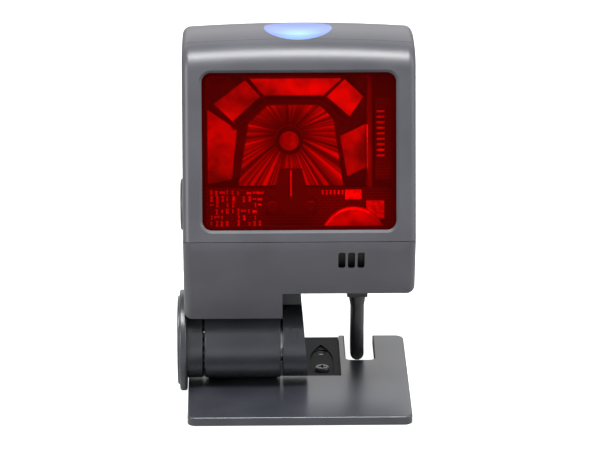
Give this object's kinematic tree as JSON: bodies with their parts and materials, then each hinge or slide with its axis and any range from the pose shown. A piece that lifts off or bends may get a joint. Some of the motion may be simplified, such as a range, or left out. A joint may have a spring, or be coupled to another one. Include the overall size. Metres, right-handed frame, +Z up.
{
  "type": "hands-free barcode scanner",
  "caption": "Counter-top presentation scanner: a boxy head with a red scanning window tilts on a hinge barrel above a flat base plate and trails a thin lead.",
  "frame": {"origin": "centre of the base plate's footprint, on the surface that the scanner stands on", "axes": "+Z up, +X to the right as the user sees the window, -Y towards the user whom the window faces; the hinge runs along X"},
  "size_m": [0.0805, 0.2097, 0.1259],
  "materials": {
    "shell_plastic": "fine moulded texture, satin",
    "stand_plastic": "satin",
    "button_plastic": "satin",
    "steel": "zinc plated",
    "blackened_steel": "satin black",
    "pad_rubber": "matt",
    "lead_rubber": "satin",
    "tie_plastic": "matt",
    "gasket_rubber": "matt",
    "red_window": "polished acrylic",
    "frosted_lens": "frosted",
    "laser_glass": "polished",
    "mirror_glass": "front-surface mirror",
    "inner_plastic": "matt",
    "board": "lacquered board",
    "component_ceramic": "ceramic and moulded chips",
    "brass": "plain",
    "motor_metal": "turned"
  },
  "bodies": {
    "base": {"base_plate": "stand_plastic", "steel_weight": "steel", "underside_pad": "pad_rubber", "hinge_bracket": "stand_plastic", "bracket_screws": "steel", "foot_screw": "blackened_steel", "spring_washer": "steel", "fixed_detent_ring": "inner_plastic", "lead_drop": "lead_rubber", "lead_run": "lead_rubber", "lead_coil": "lead_rubber", "lead_tail": "lead_rubber", "lead_tie": "tie_plastic", "usb_plug": "lead_rubber", "usb_shell": "steel"},
    "head": {"beeper": "brass", "board_chips": "component_ceramic", "board_parts": "component_ceramic", "button_switch": "inner_plastic", "collecting_mirror": "mirror_glass", "collector_hood": "inner_plastic", "front_bezel": "shell_plastic", "hinge_nut": "steel", "housing_screws": "steel", "indicator_board": "board", "indicator_leds": "component_ceramic", "indicator_lens": "frosted_lens", "laser_bracket": "inner_plastic", "laser_bracket_screws": "blackened_steel", "laser_lens": "laser_glass", "laser_tube": "inner_plastic", "lead_plug": "lead_rubber", "lead_socket": "inner_plastic", "left_hinge_arm": "stand_plastic", "main_board": "board", "mirror_clips": "inner_plastic", "motor_plate": "inner_plastic", "moving_detent_ring": "inner_plastic", "optical_chassis": "inner_plastic", "pattern_mirror_left": "mirror_glass", "pattern_mirror_right": "mirror_glass", "pattern_mirror_top": "mirror_glass", "pattern_mirror_upper_left": "mirror_glass", "pattern_mirror_upper_right": "mirror_glass", "rear_housing": "shell_plastic", "right_hinge_arm": "stand_plastic", "scan_window": "red_window", "side_board": "board", "side_connector": "inner_plastic", "spinner_motor": "motor_metal", "window_gasket": "gasket_rubber"},
    "tension": {"tension_screw": "blackened_steel"},
    "button": {"side_button": "button_plastic"},
    "spinner": {"spinning_mirror": "mirror_glass", "spinner_shaft": "steel"}
  },
  "joints": [
    {"name": "head_tilt", "type": "hinge", "parent": "base", "child": "head", "pos_m": [0, -0.0016, 0.0175], "axis": [1, 0, 0], "range_deg": [-30, 45], "deforming": ["lead_drop"]},
    {"name": "tension_turn", "type": "hinge", "parent": "head", "child": "tension", "pos_m": [0, -0.0016, 0.0175], "axis": [1, 0, 0], "range_deg": [0, 180]},
    {"name": "button_press", "type": "slide", "parent": "head", "child": "button", "axis": [1, 0, 0], "range_m": [0, 0.0008], "stiffness_N_per_m": 1500, "springref_m": -0.0006},
    {"name": "mirror_spin", "type": "hinge", "parent": "head", "child": "spinner", "pos_m": [-0.0026, 0.00887, 0.06045], "axis": [0, 0.2588, 0.9659], "continuous": true}
  ]
}
